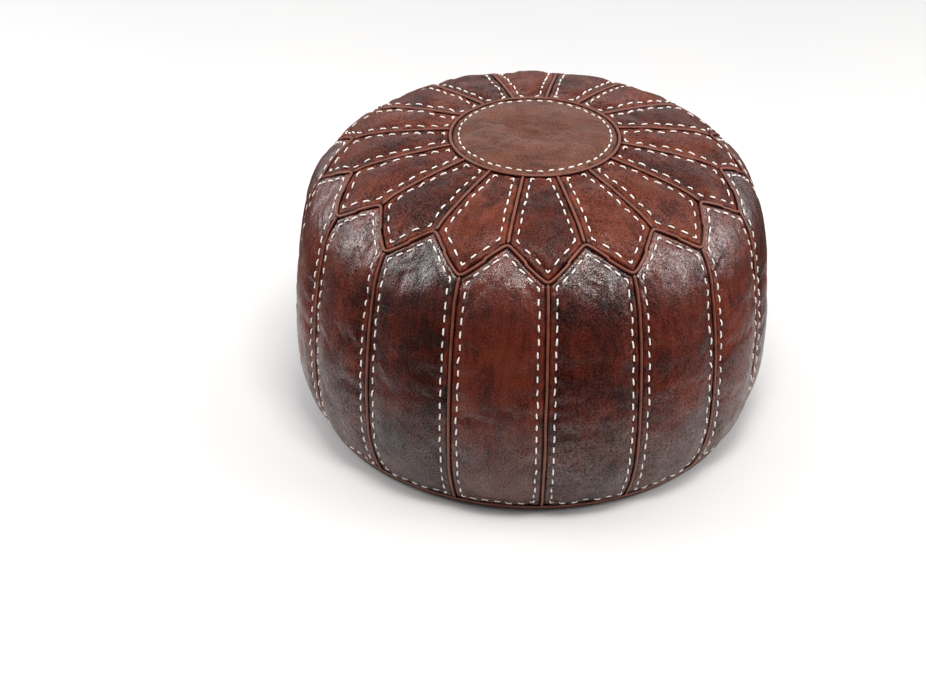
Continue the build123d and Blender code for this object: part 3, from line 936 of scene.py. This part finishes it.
def aged_brass():
    """Zip metal: brass, tarnished in the hollows and rubbed bright on the edges."""
    n = Nodes("aged_brass")
    n.set("Metallic", 1)
    place = n.place()
    tarnish = n.noise(place, 260, 4, 0.6)
    scratch = n.noise(n.stretch(place, (300, 3000, 3000)), 1, 3, 0.6)
    edge = n.put("ShaderNodeNewGeometry").outputs["Pointiness"]
    value = n.add(tarnish, n.remap(edge, 0.48, 0.56, -0.15, 0.25))
    colour = n.ramp(value, [(0.35, (0.16, 0.1, 0.045)), (0.7, (0.68, 0.5, 0.24))])
    n.set("Base Color", colour)
    n.set("Roughness", n.remap(tarnish, 0.3, 0.7, 0.24, 0.5))
    n.set("Normal", n.bump(scratch, 0.08, 0.0002))
    return n.owner


# ------------------------ dressing the frame
def stand_for(piece, slot, *nodes):
    """A piece of the cover that takes the place of CAD nodes."""
    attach(piece, "cover")
    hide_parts(*nodes)


def repaint(material, *nodes):
    """Give CAD nodes that stay in view a finished material."""
    for name in nodes:
        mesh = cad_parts[name].data
        mesh.materials.clear()
        mesh.materials.append(material)


# how light each panel's hide took the dye, round the cover from the front
PETAL_TONES = (-0.07, 0.05, 0.02, -0.03, 0.04, -0.05, 0.03, -0.02)
PETAL_TONES += (0.05, -0.04, 0.0, 0.04, -0.03, 0.02, -0.06, 0.055)
SIDE_TONES = (0.05, -0.04, 0.0, 0.03, -0.05, 0.04, -0.02, 0.05)
SIDE_TONES += (-0.04, 0.02, -0.06, 0.03, -0.01, 0.03, 0.0, -0.08)


def dress_cover():
    shades = ((0.06, 0.019, 0.011), (0.115, 0.036, 0.02), (0.17, 0.06, 0.034))
    disc_hide = waxed_leather("disc_leather", shades, 0.48, 0.0, 0.3, 0.8)
    shades = ((0.024, 0.0042, 0.0025), (0.076, 0.0112, 0.0046), (0.155, 0.031, 0.0115))
    petal_hide = waxed_leather("petal_leather", shades, 0.36, 0.0, 0.2, 1.0)
    shades = ((0.016, 0.0028, 0.0017), (0.064, 0.0078, 0.0034), (0.135, 0.0195, 0.0075))
    # the last 0.5 paints a grey reflection of the floor on the lower part of the side panels
    side_hide = waxed_leather("side_leather", shades, 0.3, 0.03, 0.2, 1.0, 0.5)
    disc = make_panel("disc_cover", "disc", 0, 0.0, 0.0, disc_hide)
    stand_for(disc, "disc_leather", "top_disc")
    kinds = (
        ("petal", "top_petal", FRONT + HALF, PETAL_TONES, petal_hide),
        ("side", "side_panel", FRONT, SIDE_TONES, side_hide),
    )
    for number in range(PANELS):
        for kind, node, start, tones, hide in kinds:
            name = f"{kind}_cover_{number + 1:02d}"
            panel = make_panel(name, kind, number, start + number * PITCH, tones[number], hide)
            stand_for(panel, f"{kind}_leather", f"{node}_{number + 1:02d}")


def dress_welts():
    piping = piping_leather()
    gap = CORD + 0.2 * MM
    welts = {
        "disc_welt": [ring_run(DISC_WAY)],
        "petal_seam_welts": down_runs(DISC_WAY + gap, PEAK_WAY - 0.5 * MM, FRONT),
        "point_welts": [zigzag_run()],
        "side_seam_welts": down_runs(VALLEY_WAY - 0.5 * MM, BASE_WAY - gap, FRONT + HALF),
        "base_welt": [ring_run(BASE_WAY)],
    }
    for node, runs in welts.items():
        stand_for(join_welts(node + "_cover", runs, piping), "welt_leather", node)


def dress_thread():
    thread = waxed_thread("white_thread", (0.93, 0.9, 0.85), (0.36, 0.25, 0.19))
    make_thread("disc_thread", "disc", [0.0], thread)
    for kind, start in (("petal", FRONT + HALF), ("side", FRONT)):
        centres = [start + number * PITCH for number in range(PANELS)]
        make_thread(f"{kind}_thread", kind, centres, thread)
    return thread


# the base, as the frame has it
BASE_RIM, BASE_FLAT, BASE_TURN = 249.7 * MM, 238 * MM, 18 * MM
TROUGH_REACH, TROUGH_WIDE, TROUGH_DEEP = 160 * MM, 22 * MM, 8 * MM
SLOT_REACH, SLOT_WIDE = 152.5 * MM, 5.6 * MM


def base_height(x, y, seed):
    """How high the base's leather stands off the floor: flat, with the zip's trough and a turned-up rim."""
    inward = TROUGH_WIDE - np.hypot(np.maximum(np.abs(x) - TROUGH_REACH, 0), y)
    height = TROUGH_DEEP * (1 - np.cos(math.pi * np.clip(inward / TROUGH_DEEP, 0, 1))) / 2
    out = np.clip(np.hypot(x, y) - BASE_FLAT, 0, BASE_TURN)
    height += BASE_TURN - np.sqrt(BASE_TURN**2 - out**2)
    flat = 1 - np.clip(inward / TROUGH_DEEP + 0.6, 0, 1)
    waves = 1 + 0.7 * noise(x / 0.05, y / 0.04, seed) + 0.3 * noise(x / 0.014, y / 0.012, seed + 1)
    height += 0.45 * MM * flat * waves
    return height + 1.6 * MM * bell(y, 1.6 * MM) * (np.abs(x) > TROUGH_REACH)


def make_base_half(name, side, seed, material):
    """Half of the base's leather (side -1 in front, 1 behind), open along the zip."""
    x = (BASE_RIM - 0.02 * MM) * np.sin(np.linspace(-math.pi / 2, math.pi / 2, 320))
    slot = SLOT_WIDE * np.sqrt(1 - np.clip((np.abs(x) - SLOT_REACH) / SLOT_WIDE, 0, 1) ** 2) + 0.25 * MM
    rim = np.maximum(np.sqrt(BASE_RIM**2 - x**2), slot + 0.5 * MM)
    near = np.minimum(24 * MM, (rim - slot) / 2)
    steps = np.linspace(0, 1, 20)[:, None]
    outer = np.linspace(0, 1, 44)[1:, None]
    y = np.vstack([slot + near * steps, slot + near + (rim - slot - near) * outer])
    x = np.broadcast_to(x, y.shape)
    x, y = x * side, y * side
    points = np.stack([x, y, base_height(x, y, seed)], axis=-1)
    half = make_object(name, points, grid_faces(*x.shape), material)
    thicken(half)
    return half


def zip_stitches():
    """Small stitches that hold the zip's tapes, one row beside each edge of the slot."""
    middles = np.arange(-148, 149, 8) * MM
    reach = middles[:, None] + np.linspace(-0.5, 0.5, DASH_RINGS) * 5 * MM
    aside, height = np.full(reach.shape, 10 * MM), np.full(reach.shape, TROUGH_DEEP)
    rest = np.vstack([np.stack([reach, side * aside, height], -1) for side in (-1, 1)])
    return thread_points(rest, np.broadcast_to((0.0, 0.0, -1.0), rest.shape))


def dress_base(thread):
    leather = plain_leather("base_leather", (0.02, 0.007, 0.005), (0.1, 0.034, 0.02))
    for name, side, seed in (("front", -1, 71), ("back", 1, 81)):
        half = make_base_half(f"base_leather_{name}", side, seed, leather)
        stand_for(half, "base_leather", f"base_half_{name}")
    thread_object("zip_thread", zip_stitches(), thread)
    repaint(woven("zip_tape", (0.07, 0.04, 0.03), 900), "zip_tape_front", "zip_tape_back")
    repaint(aged_brass(), "zip_teeth_front", "zip_teeth_back", "zip_stops", "zip_slider", "zip_pull_tab")


BAG_RISE = 6 * MM  # how far the bags' undersides are hollowed, to clear the zip
BAG_ROWS, BAG_COLUMNS = 90, 160


def make_bag(name, depth, lump, seed, material):
    """A closed bag inside the cover: its wall follows the leather, and its underside is flat."""
    ways = np.linspace(2 * MM, BASE_WAY, BAG_ROWS)
    turn = full_turn(BAG_COLUMNS)
    way, angle = np.meshgrid(ways, turn, indexing="ij")
    side = radius_at(way) * np.minimum(angle, 2 * math.pi - angle)
    folds = noise(way / 0.05, side / 0.05, seed) + 0.5 * noise(way / 0.02, side / 0.02, seed + 1)
    wall = lie(way, angle, -depth + lump * folds - lump)
    rings = [*wall]
    for share in (0.8, 0.6, 0.4, 0.2):
        ring = wall[-1] * (share, share, 1)
        ring[:, 2] += BAG_RISE + 0.4 * lump * noise(ring[:, 0] / 0.03, ring[:, 1] / 0.03, seed + 2)
        rings.append(ring)
    faces = grid_faces(len(rings), BAG_COLUMNS, True).tolist()
    last = (len(rings) - 1) * BAG_COLUMNS
    faces += [list(range(last, last + BAG_COLUMNS))[::-1], list(range(BAG_COLUMNS))]
    return make_object(name, np.array(rings), faces, material)


def dress_inside():
    """The lining and the wadding, drawn in so that the puffed leather clears them."""
    cotton, fibre = woven("lining_cotton", (0.6, 0.53, 0.42), 500), woven("wadding", (0.62, 0.6, 0.55), 60)
    stand_for(make_bag("lining_bag", 12 * MM, 0.6 * MM, 21, cotton), "lining_cotton", "inner_lining")
    stand_for(make_bag("packed_wadding", 16 * MM, 1.4 * MM, 31, fibre), "wadding", "filling")


# ------------------------ studio
FLOOR_GAP = 0.3 * MM  # keeps the floor off the base's face
FLOOR_SIDES = 96
FLOOR_RADII = (0.228, 16)  # the hole lies under the base, so that light from below reaches the zip
LENS, SENSOR = 85.1, 36
CAMERA_TURN, CAMERA_RISE = math.radians(7.03), math.radians(30.55)
CAMERA_DISTANCE = 2.562
AIM = Vector((0, 0, 0.175))
AIM_RIGHT, AIM_UP = 0.0715, 0.0923  # the aim's place in the picture, off its middle, as shares of its width
CAMERA_ROLL = math.radians(1.48)


def set_camera():
    """A long lens from above and a little right of the front seam, with the pouf off centre."""
    camera = bpy.data.objects.new("camera", bpy.data.cameras.new("camera"))
    bpy.context.collection.objects.link(camera)
    camera.data.lens = LENS
    camera.data.sensor_width = SENSOR
    level = math.cos(CAMERA_RISE)
    back = Vector((math.sin(CAMERA_TURN) * level, -math.cos(CAMERA_TURN) * level, math.sin(CAMERA_RISE)))
    look = back.to_track_quat("Z", "Y").to_matrix()
    share = SENSOR / LENS
    yaw = Matrix.Rotation(math.atan(AIM_RIGHT * share), 3, "Y")
    tip = Matrix.Rotation(-math.atan(AIM_UP * share), 3, "X")
    roll = Matrix.Rotation(CAMERA_ROLL, 3, "Z")
    place = Matrix.Translation(AIM + back * CAMERA_DISTANCE)
    camera.matrix_world = place @ (look @ yaw @ tip @ roll).to_4x4()
    camera.data.clip_end = 60
    bpy.context.scene.camera = camera


def softbox(name, place, aim, size, power, colour=(1, 1, 1)):
    """A large soft area light."""
    data = bpy.data.lights.new(name, "AREA")
    data.shape = "RECTANGLE"
    data.size, data.size_y = size
    data.energy = power
    data.color = colour
    light = bpy.data.objects.new(name, data)
    bpy.context.collection.objects.link(light)
    light.location = place
    light.rotation_euler = (Vector(place) - Vector(aim)).to_track_quat("Z", "Y").to_euler()


def set_studio():
    """A pale floor, a sky that is white behind the pouf and dim behind the camera, and three softboxes."""
    set_floor()
    set_sky()
    softbox("key", (0.25, -0.75, 2.1), (0, -0.1, 0.2), (0.7, 0.45), 25, (1, 0.95, 0.9))
    softbox("left", (-1.9, -0.1, 1.0), (0, 0, 0.2), (1.2, 1.4), 20)
    softbox("right", (1.9, 0.0, 1.0), (0, 0, 0.2), (1.2, 1.4), 20)
    bpy.context.scene.view_settings.view_transform = "Standard"


def set_floor():
    """A pale floor, clear from below, that reflections show dark away from the pouf."""
    turn = full_turn(FLOOR_SIDES)
    rings = [np.column_stack([r * np.cos(turn), r * np.sin(turn), 0 * turn - FLOOR_GAP]) for r in FLOOR_RADII]
    faces = grid_faces(2, FLOOR_SIDES, True)
    n = Nodes("floor")
    place = n.place()
    pale = n.ramp(n.noise(place, 3, 3), [(0.3, (0.79, 0.79, 0.8)), (0.7, (0.81, 0.81, 0.81))])
    reach = n.put("ShaderNodeVectorMath", {0: place}, operation="LENGTH").outputs["Value"]
    glossy = n.put("ShaderNodeLightPath").outputs["Is Glossy Ray"]
    far = n.times(n.remap(reach, 0.45, 0.58, 0.0, 1.0), glossy)
    n.set("Base Color", n.mix(far, pale, (0.07, 0.06, 0.055, 1)))
    n.set("Roughness", 0.85)
    n.set("Specular IOR Level", 0.1)
    unseen = n.put("ShaderNodeMixShader", {0: n.put("ShaderNodeNewGeometry").outputs["Backfacing"]})
    n.feed(unseen.inputs[1], n.shader.outputs[0])
    n.feed(unseen.inputs[2], n.put("ShaderNodeBsdfTransparent").outputs[0])
    n.feed(n.tree.nodes["Material Output"].inputs["Surface"], unseen.outputs[0])
    make_object("floor", np.vstack(rings), faces, n.owner, smooth=False)


def set_sky():
    """White light from behind the pouf that fades towards the camera, a little weaker in reflections."""
    world = bpy.context.scene.world = bpy.data.worlds.new("studio")
    n = Nodes("studio", world)
    across = n.put("ShaderNodeSeparateXYZ", {0: n.place("Generated")}).outputs["Y"]
    light = n.remap(across, -0.75, 0.25, 0.17, 1.0, interpolation_type="SMOOTHSTEP")
    rays = n.put("ShaderNodeLightPath").outputs
    inputs = {0: rays["Is Glossy Ray"], 1: -0.05, 2: 1.0}
    dim = n.put("ShaderNodeMath", inputs, operation="MULTIPLY_ADD").outputs[0]
    inputs = {0: rays["Is Camera Ray"], 2: n.times(light, dim), 3: 0.96}
    n.set("Strength", n.put("ShaderNodeMix", inputs, data_type="FLOAT").outputs[0])
    n.set("Color", (1, 1, 1, 1))


dress_cover()
dress_welts()
dress_base(dress_thread())
dress_inside()
set_studio()
set_camera()
